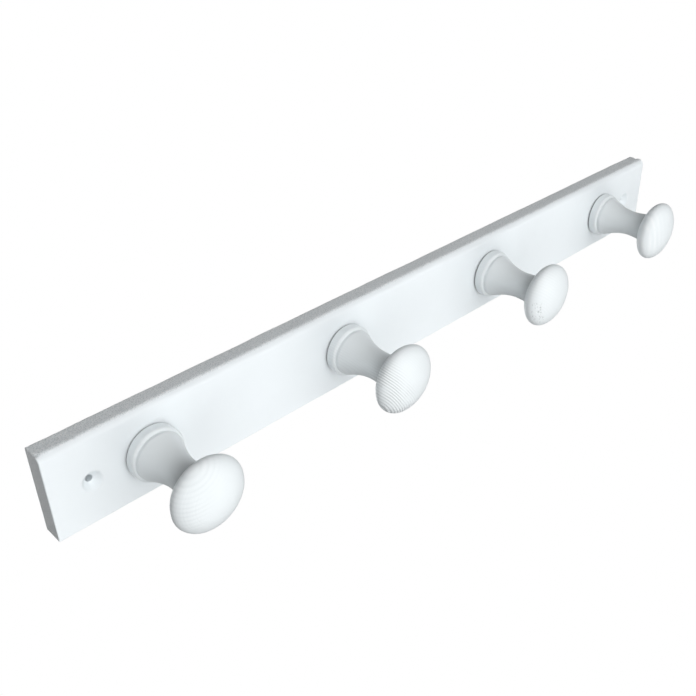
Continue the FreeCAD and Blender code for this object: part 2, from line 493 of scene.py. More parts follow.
@dataclass(frozen=True)
class ZincPlate:
    """Bright zinc plate on a steel screw, a little cloudy.

    Fields:
        name: the material's name.
        colour: the plate.
        roughness: of the plate.
        bloom: its colour where it is cloudy.
        scratches: depth of its fine scratches.
    """

    name: str
    colour: Triple
    roughness: float
    bloom: Triple = (0.52, 0.55, 0.60)
    scratches: float = 0.01 * MM

    def make(self) -> bpy.types.Material:
        """Builds the material's nodes.

        Returns:
            The finished material.
        """
        nodes = Nodes(self.name)
        cloud = nodes.noise(700.0, 3.0)
        scratch = nodes.noise(2500.0, 2.0, (1.0, 0.15, 1.0))
        cloudy = nodes.span(cloud, 0.35, 0.7, 0.0, 0.5)
        nodes.join(nodes.blend(cloudy, self.colour, self.bloom), nodes.shader.inputs["Base Color"])
        nodes.shader.inputs["Metallic"].default_value = 1.0
        spread = nodes.span(scratch, 0.3, 0.7, self.roughness - 0.06, self.roughness + 0.12)
        nodes.join(spread, nodes.shader.inputs["Roughness"])
        nodes.join(nodes.bump(scratch, self.scratches, None), nodes.shader.inputs["Normal"])
        return nodes.material


WHITE = (0.842, 0.890, 0.914)
PEG_WHITE = (0.836, 0.884, 0.902)
SHADE = (0.060, 0.065, 0.068)
BOARD_PAINT = PaintedWood(
    "board_paint", WHITE, SHADE, 0.46, (0.03, 1.0, 1.0),
    fibre_depth=0.05 * MM, film_depth=0.03 * MM, coarse_depth=0.6 * MM,
)
PEG_PAINT = PaintedWood(
    "peg_paint", PEG_WHITE, SHADE, 0.38, (1.0, 0.05, 1.0),
    fibre_depth=0.035 * MM, film_depth=0.03 * MM, coarse_depth=0.5 * MM,
)
ZINC = ZincPlate("zinc_screw", (0.74, 0.76, 0.79), 0.30)


def finish_piece(
    name: str, surface: Surface, node: str, material: bpy.types.Material, crease: float
) -> None:
    """Makes the object of one piece, dresses it and puts it in the frame.

    Args:
        name: the piece's name.
        surface: its shape.
        node: the CAD node it stands for.
        material: its finish.
        crease: edges that turn more than this many degrees stay sharp.
    """
    mesh = bpy.data.meshes.new(name)
    corners = np.concatenate([surface.quads.ravel(), surface.triangles.ravel()])
    sizes = np.repeat([4, 3], [len(surface.quads), len(surface.triangles)])
    mesh.vertices.add(len(surface.points))
    mesh.vertices.foreach_set("co", surface.points.astype(np.float32).ravel())
    mesh.loops.add(len(corners))
    mesh.loops.foreach_set("vertex_index", corners.astype(np.int32))
    mesh.polygons.add(len(sizes))
    mesh.polygons.foreach_set("loop_start", (np.cumsum(sizes) - sizes).astype(np.int32))
    mesh.update(calc_edges=True)
    for key, values in (("shade_and_tone", surface.shade_and_tone), ("coarse", surface.coarse)):
        layer = mesh.attributes.new(key, "FLOAT", "POINT")
        layer.data.foreach_set("value", np.clip(values, 0.0, 1.0).astype(np.float32))
    shell = bmesh.new()
    shell.from_mesh(mesh)
    bmesh.ops.recalc_face_normals(shell, faces=shell.faces)
    shell.to_mesh(mesh)
    shell.free()
    mesh.shade_smooth()
    mesh.set_sharp_from_angle(angle=math.radians(crease))
    mesh.materials.append(material)
    piece = bpy.data.objects.new(name, mesh)
    bpy.context.scene.collection.objects.link(piece)
    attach(piece, BODY)
    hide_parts(node)
    LOG.info("%s: %d points, %d faces", name, len(mesh.vertices), len(mesh.polygons))


# --- Board ---
@dataclass(frozen=True)
class Bore:
    """One screw hole through the board, with its 90 degree countersink on one face.

    Fields:
        x: its place along the rail.
        z: its height.
        radius: of the straight hole.
        front_mouth: radius where it opens in the front face.
        back_mouth: radius where it opens in the back face.
    """

    x: float
    z: float
    radius: float
    front_mouth: float
    back_mouth: float


@dataclass
class Board:
    """The board: a rounded section carried along X, with its grid drawn into circles round the holes.

    Fields:
        node: the CAD node.
        top_front: radius of the upper front edge.
        top_back: radius of the upper back edge.
        arris: radius of the other edges.
        corner_steps: facets in half a rounded corner.
        wall_sink: mouth radius of the wall-screw countersinks.
        peg_bore: radius of the holes for the peg screws.
        peg_sink: mouth radius of their countersinks in the back face.
        lip: how softly the paint rounds the rim of a hole.
        reach: how far from a hole's centre its circles spread.
        pitch: usual distance between sections along the rail.
        bore_shade: painted shade inside the straight holes.
        end_grey_and_shade: how much darker the end faces are: partly paint gone greyer on the end
        grain, partly painted shade.
        end_coarse: how rough it is under the paint.
        chip_darkening: how much darker a chip is, for each millimetre of its depth.
        swell: depth of the slow swells all over.
        nap: depth of the rough wood on the top edge.
        planing: depth of the uneven planing of the rounded edge.
    """

    node: str = "backboard"
    top_front: float = 5.0 * MM
    top_back: float = 1.5 * MM
    arris: float = 0.5 * MM
    corner_steps: int = 5
    wall_sink: float = 6.5 * MM
    peg_bore: float = 2.5 * MM
    peg_sink: float = 5.3 * MM
    lip: float = 0.14 * MM
    reach: float = 14.0 * MM
    pitch: float = 1.5 * MM
    bore_shade: float = 0.26
    end_grey_and_shade: float = 0.28
    end_coarse: float = 0.6
    chip_darkening: float = 0.5
    swell: float = 0.035 * MM
    nap: float = 0.045 * MM
    planing: float = 0.10 * MM

    # distances from a hole's centre at which the grid has lines; the straight hole starts at
    # number BORE_LINE and the countersink's mouth is at number MOUTH_LINE
    RINGS = MM * np.array(
        [0.0, 0.45, 0.9, 1.35, 1.8, 2.25, 2.42, 2.6, 2.8, 3.1, 3.6, 4.2, 5.1, 5.9, 6.5, 7.1, 7.9]
    )
    BORE_LINE = 5
    MOUTH_LINE = 14

    def __post_init__(self) -> None:
        """Reads the board's box, its wall holes and the pegs' places from the frame."""
        low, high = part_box(self.node)
        self.low = np.array(low)
        self.high = np.array(high)
        self.half_length = float(self.high[0])
        self.half_height = float(self.high[2])
        self.thickness = float(self.high[1] - self.low[1])
        mount = next(m for m in frame["record"]["mounts"] if m["name"] == "wall_screws")
        radius = mount["dims"]["hole_r_mm"] * MM
        spacing = mount["dims"]["spacing_x_mm"] * MM
        self.bores = [
            Bore(side * spacing / 2, mount["pos_m"][2], radius, self.wall_sink, radius + 2 * self.lip)
            for side in (-1, 1)
        ]
        for peg in sorted(n for n in frame["nodes"] if n.startswith("peg_screw")):
            low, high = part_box(peg)
            centre = (Vector(low) + Vector(high)) / 2
            self.bores.append(
                Bore(centre.x, centre.z, self.peg_bore, self.peg_bore + 2 * self.lip, self.peg_sink)
            )

    def lines(self, centres: list[float], start: float, end: float) -> np.ndarray:
        """Grid lines from start to end, with the fixed rings round each centre.

        Args:
            centres: where holes lie.
            start: first line.
            end: last line.

        Returns:
            The lines in rising order.
        """
        rings = np.concatenate([-self.RINGS[:0:-1], self.RINGS])
        parts = [np.array([start])]
        for centre in sorted(centres):
            first = centre + rings[0]
            count = max(1, round((first - parts[-1][-1]) / self.pitch))
            parts.append(np.linspace(parts[-1][-1], first, count + 1)[1:-1])
            parts.append(centre + rings)
        count = max(1, round((end - parts[-1][-1]) / self.pitch))
        parts.append(np.linspace(parts[-1][-1], end, count + 1)[1:])
        return np.concatenate(parts)

    def side(
        self, start: float, end: float, start_round: float, end_round: float, middle: np.ndarray
    ) -> np.ndarray:
        """One side of the section, from the middle of one rounded corner to the middle of the next.

        A corner of radius r gives r(1 - sin a) along the side and r(1 - cos a) in from it, with a
        from 45 degrees to 0.

        Args:
            start: the first corner's place along the side.
            end: the last corner's place along the side.
            start_round: radius of the first corner.
            end_round: radius of the last corner.
            middle: lines on the flat between the corners.

        Returns:
            Rows of (place along the side, distance in from it).
        """
        way = math.copysign(1.0, end - start)
        turn = np.linspace(math.pi / 4, 0.0, self.corner_steps + 1)
        rise, fall = 1 - np.sin(turn), 1 - np.cos(turn)
        first = np.stack([start + way * start_round * rise, start_round * fall], 1)
        last = np.stack([end - way * end_round * rise, end_round * fall], 1)[::-1]
        flat = np.stack([middle, np.zeros_like(middle)], 1)
        return np.concatenate([first, flat, last])

    def section(self) -> tuple[np.ndarray, np.ndarray, int, int]:
        """The rounded outline of the board across X, going up the front, back over the top and down.

        Returns:
            The (y, z) points, the outward normals, and how many points the front and the top have.
        """
        front_y, back_y = float(self.low[1]), float(self.high[1])
        half = self.half_height
        edge_zone = 8 * MM
        inner = self.lines([0.0], -half + edge_zone, half - edge_zone)
        lower = -half + np.array([2, 4, 6]) * MM
        rising = np.concatenate([lower, inner, [half - self.top_front - self.pitch]])
        over = np.linspace(front_y + self.top_front + MM, back_y - self.top_back - MM, 7)
        under = np.linspace(back_y - self.arris - MM, front_y + self.arris + MM, 7)
        front = self.side(-half, half, self.arris, self.top_front, rising)
        top = self.side(front_y, back_y, self.top_front, self.top_back, over)
        back = self.side(half, -half, self.top_back, self.arris, rising[::-1])
        bottom = self.side(back_y, front_y, self.arris, self.arris, under)
        outline = np.concatenate([
            np.stack([front_y + front[:, 1], front[:, 0]], 1)[:-1],
            np.stack([top[:, 0], half - top[:, 1]], 1)[:-1],
            np.stack([back_y - back[:, 1], back[:, 0]], 1)[:-1],
            np.stack([bottom[:, 0], -half + bottom[:, 1]], 1)[:-1],
        ])
        along = np.roll(outline, -1, 0) - np.roll(outline, 1, 0)
        normal = np.stack([-along[:, 1], along[:, 0]], 1)
        normal /= np.linalg.norm(normal, axis=1, keepdims=True)
        return outline, normal, len(front), len(top)

    def draw_round(
        self, bore: Bore, mouth: float, x: np.ndarray, z: np.ndarray
    ) -> tuple[np.ndarray, np.ndarray, np.ndarray]:
        """Draws the square rings of the grid round a hole into circles, and sinks the countersink.

        A point whose larger offset from the centre is m moves to the circle of that radius, scaled so
        that the bore's and the mouth's lines get their true radii; the move fades out by self.reach.
        The depth is the softened ramp of (mouth - radius).

        Args:
            bore: the hole.
            mouth: its radius in this face.
            x: the points' places along the rail.
            z: the points' heights.

        Returns:
            New x, new z, and the depth below the face.
        """
        faded = 1.55 * self.reach
        beside = 1 - smoothstep(self.reach, faded, np.abs(x - bore.x))
        level = 1 - smoothstep(self.reach, faded, np.abs(z))
        z = z + bore.z * beside * level
        across, up = x - bore.x, z - bore.z
        square = np.maximum(np.abs(across), np.abs(up))
        radius = np.maximum(np.hypot(across, up), 1e-9)
        known = [0.0, self.RINGS[self.BORE_LINE], self.RINGS[self.MOUTH_LINE], self.reach]
        if mouth < self.wall_sink / 2:
            known[2] = self.RINGS[self.BORE_LINE + 1]
        target = np.interp(square, known, [0.0, bore.radius, mouth, self.reach])
        rounded = 1 - smoothstep(self.RINGS[-1], self.reach, square)
        scale = (1 - rounded) + rounded * target / radius
        near = square < self.reach
        scale = np.where(near, scale, 1.0)
        depth = np.where(near, softplus(mouth - scale * radius, self.lip) * rounded, 0.0)
        return bore.x + across * scale, bore.z + up * scale, depth

    def relief(self, points: np.ndarray, normal: np.ndarray) -> tuple[np.ndarray, np.ndarray, np.ndarray]:
        """How far the worn, painted surface lies under the true one, and how rough its wood is.

        Slow swells everywhere, a coarser nap on the top edge, uneven planing of the rounded edge,
        three chips near the left end and one at the right.

        Args:
            points: positions before any relief.
            normal: the section's outward normals.

        Returns:
            Depth under the surface, coarseness and the chips' darkening, one of each a point.
        """
        facing_up = np.clip(normal[:, 1], 0.0, 1.0)[None, :] * np.ones(points.shape[:2])
        rolled = np.exp(-(((normal[:, 1] - 0.7) / 0.35) ** 2))[None, :]
        swell = self.swell * (1 + Ripple(3, shortest=14 * MM, longest=70 * MM).at(points))
        nap = self.nap * (1 + Ripple(5, shortest=2.4 * MM, longest=7 * MM, waves=40).at(points))
        nap *= smoothstep(0.55, 0.95, facing_up)
        strokes = Ripple(7, shortest=9 * MM, longest=40 * MM, waves=24, stretch=(3, 1, 1))
        planing = self.planing * (1 + strokes.at(points)) * rolled
        front, top = float(self.low[1]), self.half_height
        left = -self.half_length
        chips = (
            Dent((left + 0.6 * MM, front + 3.6 * MM, top - 0.6 * MM), radius=1.3 * MM, depth=0.8 * MM),
            Dent((left + 20 * MM, front + 4.8 * MM, top), radius=0.9 * MM, depth=0.35 * MM),
            Dent((left + 23 * MM, front + 3.8 * MM, top - 0.4 * MM), radius=0.8 * MM, depth=0.22 * MM),
            Dent((self.half_length - 0.3 * MM, front + 8.5 * MM, top), radius=1.6 * MM, depth=0.9 * MM),
        )
        chipped = sum(chip.at(points) for chip in chips)
        depth = np.maximum(swell, 0) + np.maximum(nap, 0) + np.maximum(planing, 0) + chipped
        return depth, smoothstep(0.72, 0.98, facing_up), chipped / MM

    def surface(self) -> Surface:
        """The whole board as one closed surface.

        Returns:
            The surface, holes and end faces included.
        """
        outline, normal, front_count, top_count = self.section()
        around = len(outline)
        turn = np.linspace(0.0, math.pi / 2, 5)
        end_in = self.arris * (1 - np.sin(turn))
        end_shrink = self.arris * (1 - np.cos(turn))
        flat_end = self.half_length - self.arris - MM
        inner = self.lines([bore.x for bore in self.bores], -flat_end, flat_end)
        stations = np.concatenate([-self.half_length + end_in[::-1], inner, self.half_length - end_in])
        shrink = np.concatenate([end_shrink[::-1], np.zeros(len(inner)), end_shrink])
        count = len(stations)
        x = np.repeat(stations[:, None], around, 1)
        y = np.repeat(outline[None, :, 0], count, 0)
        z = np.repeat(outline[None, :, 1], count, 0)
        inset = np.zeros_like(x)
        front = np.arange(front_count)
        back = front_count + top_count - 2 + np.arange(front_count)
        flats = ((front, 1.0, "front_mouth"), (back, -1.0, "back_mouth"))
        for bore in self.bores:
            close = np.abs(stations - bore.x) < 1.6 * self.reach
            for columns, way, mouth in flats:
                block = np.ix_(close, columns)
                x[block], z[block], depth = self.draw_round(bore, getattr(bore, mouth), x[block], z[block])
                y[block] += way * depth
                inset[block] += depth
        points = np.stack([x, y, z], -1)
        worn, coarse, chips = self.relief(points, normal)
        clear = np.ones_like(x)
        for bore in self.bores:
            away = np.hypot(x - bore.x, z - bore.z)
            clear *= smoothstep(0.5 * self.reach, self.reach, away)
        worn *= clear
        points[..., 1] -= worn * normal[None, :, 0]
        points[..., 2] -= worn * normal[None, :, 1]
        middle_y = float(self.low[1] + self.high[1]) / 2
        points[..., 1] = middle_y + (points[..., 1] - middle_y) * (1 - 2 * shrink / self.thickness)[:, None]
        points[..., 2] *= (1 - shrink / self.half_height)[:, None]
        quads = grid_quads(count, around)
        quads, walls = self.open_bores(quads, stations, outline, front_count, top_count)
        caps, cap_points = self.end_caps(points, front_count, top_count)
        # painted shade inside the straight holes, where their walls lie in shadow
        sunk = self.wall_sink - self.bores[0].radius
        in_bore = smoothstep(sunk - 0.13 * MM, sunk - 0.01 * MM, inset)
        # each chip darker in proportion to its depth
        shade_and_tone = (self.chip_darkening * chips + self.bore_shade * in_bore).ravel()
        # the end faces darker: partly the end grain's greyer paint, partly painted shade
        shade_and_tone = np.concatenate([shade_and_tone, np.full(len(cap_points), self.end_grey_and_shade)])
        coarse = np.concatenate([coarse.ravel(), np.full(len(cap_points), self.end_coarse)])
        return Surface(
            np.concatenate([points.reshape(-1, 3), cap_points]),
            np.concatenate([quads, walls, caps]),
            np.zeros((0, 3), int),
            shade_and_tone,
            coarse,
        )

    def open_bores(
        self, quads: np.ndarray, stations: np.ndarray, outline: np.ndarray, front_count: int, top_count: int
    ) -> tuple[np.ndarray, np.ndarray]:
        """Takes the faces out of each hole and joins the front rim to the back rim.

        Args:
            quads: all the faces of the long surface.
            stations: the sections' places along the rail.
            outline: the section.
            front_count: points up the front.
            top_count: points over the top.

        Returns:
            The faces that stay, and the walls of the holes.
        """
        around = len(outline)
        middle = int(np.argmin(np.abs(outline[:front_count, 1])))
        turn_back = front_count + top_count - 2 + front_count - 1
        span = self.BORE_LINE
        row, column = quads[:, 0] // around, quads[:, 0] % around
        keep = np.ones(len(quads), bool)
        step = np.arange(-span, span)
        i = np.concatenate([step, np.full(2 * span, span), -step, np.full(2 * span, -span)])
        j = np.concatenate([np.full(2 * span, -span), step, np.full(2 * span, span), -step])
        walls = []
        for bore in self.bores:
            centre = int(np.argmin(np.abs(stations - bore.x)))
            in_row = (row >= centre - span) & (row < centre + span)
            for first in (middle - span, turn_back - middle - span):
                keep &= ~(in_row & (column >= first) & (column < first + 2 * span))
            front = (centre + i) * around + middle + j
            back = (centre + i) * around + turn_back - (middle + j)
            walls.append(np.stack([front, np.roll(front, -1), np.roll(back, -1), back], 1))
        return quads[keep], np.concatenate(walls)

    @staticmethod
    def end_caps(points: np.ndarray, high: int, wide: int) -> tuple[np.ndarray, np.ndarray]:
        """Closes both ends with a patch blended from its four sides.

        A point of the patch is the sum of the two straight blends between opposite sides, less the
        blend of the four corners.

        Args:
            points: the long surface's grid of points.
            high: points up the front.
            wide: points over the top.

        Returns:
            The faces and the new points.
        """
        around = points.shape[1]
        total = points.shape[0] * around
        ring = np.empty((high, wide), int)
        ring[:, 0] = np.arange(high)
        ring[-1, :] = high - 1 + np.arange(wide)
        ring[:, -1] = (high + wide - 2 + np.arange(high))[::-1]
        ring[0, :] = (np.append(2 * high + wide - 3 + np.arange(wide - 1), 0))[::-1]
        faces, made = [], []
        rise = np.linspace(0, 1, high)[1:-1, None, None]
        run = np.linspace(0, 1, wide)[None, 1:-1, None]
        for station in (0, points.shape[0] - 1):
            edge = points[station]
            left, right = edge[ring[1:-1, 0]][:, None], edge[ring[1:-1, -1]][:, None]
            low, high_side = edge[ring[0, 1:-1]][None], edge[ring[-1, 1:-1]][None]
            corner = [edge[ring[a, b]] for a, b in ((0, 0), (0, -1), (-1, 0), (-1, -1))]
            bilinear = ((1 - rise) * ((1 - run) * corner[0] + run * corner[1])
                        + rise * ((1 - run) * corner[2] + run * corner[3]))
            patch = (1 - run) * left + run * right + (1 - rise) * low + rise * high_side - bilinear
            number = station * around + ring
            number[1:-1, 1:-1] = total + np.arange(patch[..., 0].size).reshape(high - 2, wide - 2)
            total += patch[..., 0].size
            made.append(patch.reshape(-1, 3))
            cells = (number[:-1, :-1], number[:-1, 1:], number[1:, 1:], number[1:, :-1])
            faces.append(np.stack(cells, -1).reshape(-1, 4))
        return np.concatenate(faces), np.concatenate(made)

    def build(self, material: bpy.types.Material) -> None:
        """Makes the board's piece in this finish."""
        finish_piece("board", self.surface(), self.node, material, crease=38.0)


# --- Turned pieces ---
def straight(start: Pair, end: Pair, steps: int) -> np.ndarray:
    """The points of a straight line after its start, as rows of (radius, distance)."""
    return np.linspace(start, end, steps + 1)[1:]


def arc(centre: Pair, radii: Pair, start: float, end: float, steps: int) -> np.ndarray:
    """The points centre + (a cos t, b sin t) of an ellipse after its start.

    Args:
        centre: of the ellipse, as (radius, distance).
        radii: its half-axes a and b.
        start: t at the start.
        end: t at the end.
        steps: how many points.

    Returns:
        Rows of (radius, distance).
    """
    turn = np.linspace(start, end, steps + 1)[1:]
    return np.stack([centre[0] + radii[0] * np.cos(turn), centre[1] + radii[1] * np.sin(turn)], 1)


def bow(half: float, rise: float) -> float:
    """Radius of the arc that rises this much over half its chord: (half^2 + rise^2) / (2 rise)."""
    return (half**2 + rise**2) / (2 * rise)


def revolve(radius: np.ndarray, along: np.ndarray, turn: np.ndarray) -> np.ndarray:
    """Turns a line about the axis: a point is (r cos t, -d, r sin t).

    Args:
        radius: distances r from the axis, one a row, or one a row and turn.
        along: distances d along the axis, likewise.
        turn: the turns t.

    Returns:
        Ring by ring, rows of (across, depth, up).
    """
    radius = radius.reshape(len(radius), -1)
    depth = -along.reshape(len(along), -1)
    across, up = radius * np.cos(turn), radius * np.sin(turn)
    return np.stack([across, np.broadcast_to(depth, across.shape), up], -1)


@dataclass
class Turned:
    """A piece turned about an axis along Y, standing where its CAD node does.

    Fields:
        node: the CAD node.
    """

    node: str

    def __post_init__(self) -> None:
        """Reads the piece's place, length and head radius from its CAD node."""
        low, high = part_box(self.node)
        self.axis_x = (low[0] + high[0]) / 2
        self.axis_z = (low[2] + high[2]) / 2
        self.foot_y = high[1]
        self.length = high[1] - low[1]
        self.head = max(high[0] - low[0], high[2] - low[2]) / 2

    def closed(self, rings: np.ndarray, poles: Pair, shade_and_tone: np.ndarray) -> Surface:
        """Closes rings of points with a pole at each end, and sets them in place.

        Args:
            rings: ring by ring, rows of (across, depth, up) from the piece's own axis.
            poles: how far along the axis the first and the last pole lie.
            shade_and_tone: one value a point of the rings.

        Returns:
            The closed surface.
        """
        count, segments = rings.shape[:2]
        tips = [[0.0, -pole, 0.0] for pole in poles]
        points = np.concatenate([rings.reshape(-1, 3), tips]) + [self.axis_x, self.foot_y, self.axis_z]
        near = np.arange(segments)
        far = (count - 1) * segments + near
        tip = np.full(segments, count * segments)
        caps = np.concatenate([
            np.stack([tip, np.roll(near, -1), near], 1),
            np.stack([tip + 1, far, np.roll(far, -1)], 1),
        ])
        shade_and_tone = np.append(shade_and_tone.ravel(), [0.0, 0.0])
        return Surface(points, grid_quads(count, segments), caps, shade_and_tone, np.zeros(len(points)))


class Grain(Enum):
    """How the growth rings of a peg's wood show through its paint."""

    # each grain's painted shade in its ring hollows and painted highlight on its ridges
    BROAD_ARCS = GrowthRings(
        lie=18.0, spacing=3.0 * MM, pith=-44 * MM, wander=13.0,
        strong_side=152.0, depth=0.035 * MM, hollow_shade=0.06, ridge_highlight=0.16,
    )
    FINE_RIDGES = GrowthRings(
        lie=-55.0, spacing=1.62 * MM, pith=150 * MM, wander=11.0,
        strong_side=200.0, depth=0.14 * MM, hollow_shade=0.38, ridge_highlight=0.5, width=0.55,
    )
    PITTED = GrowthRings(
        lie=-50.0, spacing=2.1 * MM, pith=70 * MM, wander=7.0,
        strong_side=150.0, depth=0.02 * MM, hollow_shade=0.03, ridge_highlight=0.12,
    )
    UPRIGHT_BANDS = GrowthRings(
        lie=104.0, spacing=4.8 * MM, pith=60 * MM, wander=7.0,
        strong_side=185.0, depth=0.05 * MM, hollow_shade=0.03, ridge_highlight=0.34,
    )


@dataclass(frozen=True)
class Blank:
    """The piece of wood one peg was turned from.

    Fields:
        grain: how its growth rings show.
        seed: for its own small unevenness.
        pits: how many small torn pits it has near the lower left of the head.
        pit_angle: degrees from +X towards +Z between which they lie.
        pit_place: how far from the axis they lie, as shares of the head's radius.
        pit_size: smallest and largest radius.
        pit_depth: smallest and largest depth.
        painted_shade: painted shade where the neck meets the head, standing for the head's shadow.
        shade_reach: how far along the neck it spreads.
    """

    grain: Grain
    seed: int
    pits: int = 0
    pit_angle: Pair = (172.0, 232.0)
    pit_place: Pair = (0.70, 0.99)
    pit_size: Pair = (0.3 * MM, 0.62 * MM)
    pit_depth: Pair = (0.1 * MM, 0.35 * MM)
    painted_shade: float = 0.28
    shade_reach: float = 7.5 * MM


@dataclass
class Peg(Turned):
    """One turned peg: collar, groove, neck and mushroom head as a profile turned about its axis.

    Distances are out from the board's front face.

    Fields:
        blank: the wood it was turned from.
        collar: radius of the collar.
        collar_depth: how far the collar stands out.
        foot_round: radius of the edge at the board.
        edge_round: radius of the collar's outer edge.
        groove_width: of the groove between collar and neck.
        groove_depth: of the same.
        bead: how far the rounding between groove and neck reaches.
        waist: radius at the thinnest place.
        waist_to_head: from there to the head's underside.
        flare_angle: degrees between the neck's start and the axis.
        head_flare: how much the neck widens again towards the head.
        throat: how far the rounding between neck and head reaches.
        crown: from the rim to the front of the head.
        underside: half-axis of the head's underside.
        bore: radius of the pilot hole.
        bore_depth: of the same.
        gap_shade: painted shade in the joint between collar and board.
        gap_depth: how far out of the joint it comes.
        lathe: height of the lathe marks.
        swell: height of the slow unevenness.
        segments: facets round the peg.
    """

    blank: Blank
    collar: float = 18.0 * MM
    collar_depth: float = 7.6 * MM
    foot_round: float = 1.5 * MM
    edge_round: float = 1.8 * MM
    groove_width: float = 2.0 * MM
    groove_depth: float = 0.45 * MM
    bead: float = 0.8 * MM
    waist: float = 10.15 * MM
    waist_to_head: float = 14.5 * MM
    flare_angle: float = 25.7
    head_flare: float = 1.8 * MM
    throat: float = 1.5 * MM
    crown: float = 10.2 * MM
    underside: float = 9.7 * MM
    bore: float = 1.65 * MM
    bore_depth: float = 28.5 * MM
    gap_shade: float = 0.92
    gap_depth: float = 1.25 * MM
    lathe: float = 0.008 * MM
    swell: float = 0.05 * MM
    segments: int = 320

    def outline(self) -> np.ndarray:
        """The profile from the pilot hole's end, round the outside, to the crown.

        Straight runs and quarter circles, a groove that is the arc through both its edges and its
        bottom, a cubic curve into the waist, an arc that leaves the waist along the axis, and two
        part ellipses about the rim for the head.

        Returns:
            Rows of (radius, distance out).
        """
        rim = self.length - self.crown
        neck_end = self.waist + self.head_flare
        meet = math.acos(neck_end / self.head)
        head_place = rim - self.underside * math.sin(meet)
        waist_place = head_place - self.waist_to_head
        lip = self.collar - self.edge_round
        foot = self.collar - self.foot_round
        edge = self.collar_depth - self.edge_round
        quarter, half_turn = math.pi / 2, math.pi
        base = np.concatenate([
            [[0.0, self.bore_depth + self.bore], [self.bore, self.bore_depth]],
            straight((self.bore, self.bore_depth), (self.bore, 0.0), 6),
            straight((self.bore, 0.0), (foot, 0.0), 8),
            arc((foot, self.foot_round), (self.foot_round, self.foot_round), -quarter, 0.0, 6),
            straight((self.collar, self.foot_round), (self.collar, edge), 10),
            arc((lip, edge), (self.edge_round, self.edge_round), 0.0, quarter, 10),
        ])
        half = self.groove_width / 2
        radius = bow(half, self.groove_depth)
        span = math.asin(half / radius)
        centre = (lip - self.groove_depth + radius, self.collar_depth + half)
        groove = arc(centre, (radius, radius), half_turn + span, half_turn - span, 14)
        neck = self.neck(lip, self.collar_depth + self.groove_width, waist_place)
        shaped = self.rounded(np.concatenate([groove, neck]), len(groove) - 1, self.bead)
        radius = bow(self.waist_to_head, self.head_flare)
        span = math.asin(self.waist_to_head / radius)
        flare = arc((self.waist + radius, waist_place), (radius, radius), half_turn, half_turn - span, 32)
        below = arc((0.0, rim), (self.head, self.underside), -meet, 0.0, 48)
        above = arc((0.0, rim), (self.head, self.crown), 0.0, quarter, 90)
        shaped = np.concatenate([shaped, flare, below])
        corner = int(np.argmin(np.abs(shaped - [neck_end, head_place]).sum(1)))
        shaped = self.rounded(shaped, corner, self.throat)
        return np.concatenate([base, shaped, above])

    def neck(self, lip: float, start: float, waist_place: float) -> np.ndarray:
        """The cubic curve from the groove in to the waist, its inner points a third of the way apart.

        Args:
            lip: radius at the start.
            start: distance out of the start.
            waist_place: distance out of the waist.

        Returns:
            Rows of (radius, distance out).
        """
        third = (waist_place - start) / 3
        drop = third * math.tan(math.radians(self.flare_angle))
        poles = np.array([
            [lip, start],
            [lip - drop, start + third],
            [self.waist, waist_place - third],
            [self.waist, waist_place],
        ])
        t = np.linspace(0, 1, 49)[1:, None]
        return ((1 - t) ** 3 * poles[0] + 3 * (1 - t) ** 2 * t * poles[1]
                + 3 * (1 - t) * t**2 * poles[2] + t**3 * poles[3])

    @staticmethod
    def rounded(line: np.ndarray, corner: int, reach: float) -> np.ndarray:
        """Replaces a corner of a line by the curve (1-t)^2 A + 2(1-t)t corner + t^2 B.

        Args:
            line: the points.
            corner: number of the corner's point.
            reach: how far from the corner A and B lie.

        Returns:
            The line with its corner rounded.
        """
        away = np.linalg.norm(line - line[corner], axis=1)
        number = np.arange(len(line))
        before = int(number[(number < corner) & (away >= reach)][-1])
        after = int(number[(number > corner) & (away >= reach)][0])
        t = np.linspace(0, 1, 9)[1:-1, None]
        curve = (1 - t) ** 2 * line[before] + 2 * (1 - t) * t * line[corner] + t**2 * line[after]
        return np.concatenate([line[: before + 1], curve, line[after:]])

    def surface(self) -> Surface:
        """The turned peg with its lathe marks, slow unevenness and pits.

        Returns:
            The closed surface.
        """
        outline = self.outline()
        along = np.gradient(outline, axis=0)
        normal = np.stack([along[:, 1], -along[:, 0]], 1)
        normal /= np.maximum(np.linalg.norm(normal, axis=1, keepdims=True), 1e-12)
        turn = np.linspace(0, math.tau, self.segments, endpoint=False)
        radius, out = outline[1:-1].T
        shape = revolve(radius, out, turn)
        way = revolve(*normal[1:-1].T, turn)
        past_joint = 2.5 * MM
        outside = (radius > self.bore * 1.01) & (out > 0)
        worked = outside * smoothstep(0.0, past_joint, out)
        tool = Ripple(self.blank.seed + 9, shortest=0.9 * MM, longest=4 * MM, waves=18)
        slow = Ripple(self.blank.seed + 21, shortest=14 * MM, longest=45 * MM, waves=14)
        marks = tool.at(np.stack([radius, out, 0 * radius], 1))[:, None]
        height = self.lathe * marks + self.swell * slow.at(shape)
        pits, shade_and_tone = self.pits(shape)
        height = (height - pits) * worked[:, None]
        shape = shape + way * height[..., None]
        shade_and_tone = shade_and_tone + self.painted_shade(radius, out)[:, None]
        return self.closed(shape, (outline[0, 1], outline[-1, 1]), shade_and_tone)

    def painted_shade(self, radius: np.ndarray, out: np.ndarray) -> np.ndarray:
        """Painted shade in the joint at the board, exp(-(out / depth)^4), and where neck and head meet.

        The second stands for the head's shadow on the neck: exp(-(distance / reach)^2) round the
        throat, faded out across the head's underside and absent from its front.

        Args:
            radius: distances from the axis.
            out: distances out from the board.

        Returns:
            The painted shade, one value a row.
        """
        # painted shade in the joint between collar and board, where its shadow falls
        gap = np.exp(-((out / self.gap_depth) ** 4)) * (radius > 0.9 * self.collar)
        rim = self.length - self.crown
        # painted shade round the throat, where the head shades the neck
        throat = np.exp(-(((out - rim + self.underside) / self.blank.shade_reach) ** 2))
        under = (1 - smoothstep(0.45 * self.head, 0.9 * self.head, radius)) * (out < rim)
        return self.gap_shade * gap + self.blank.painted_shade * throat * under

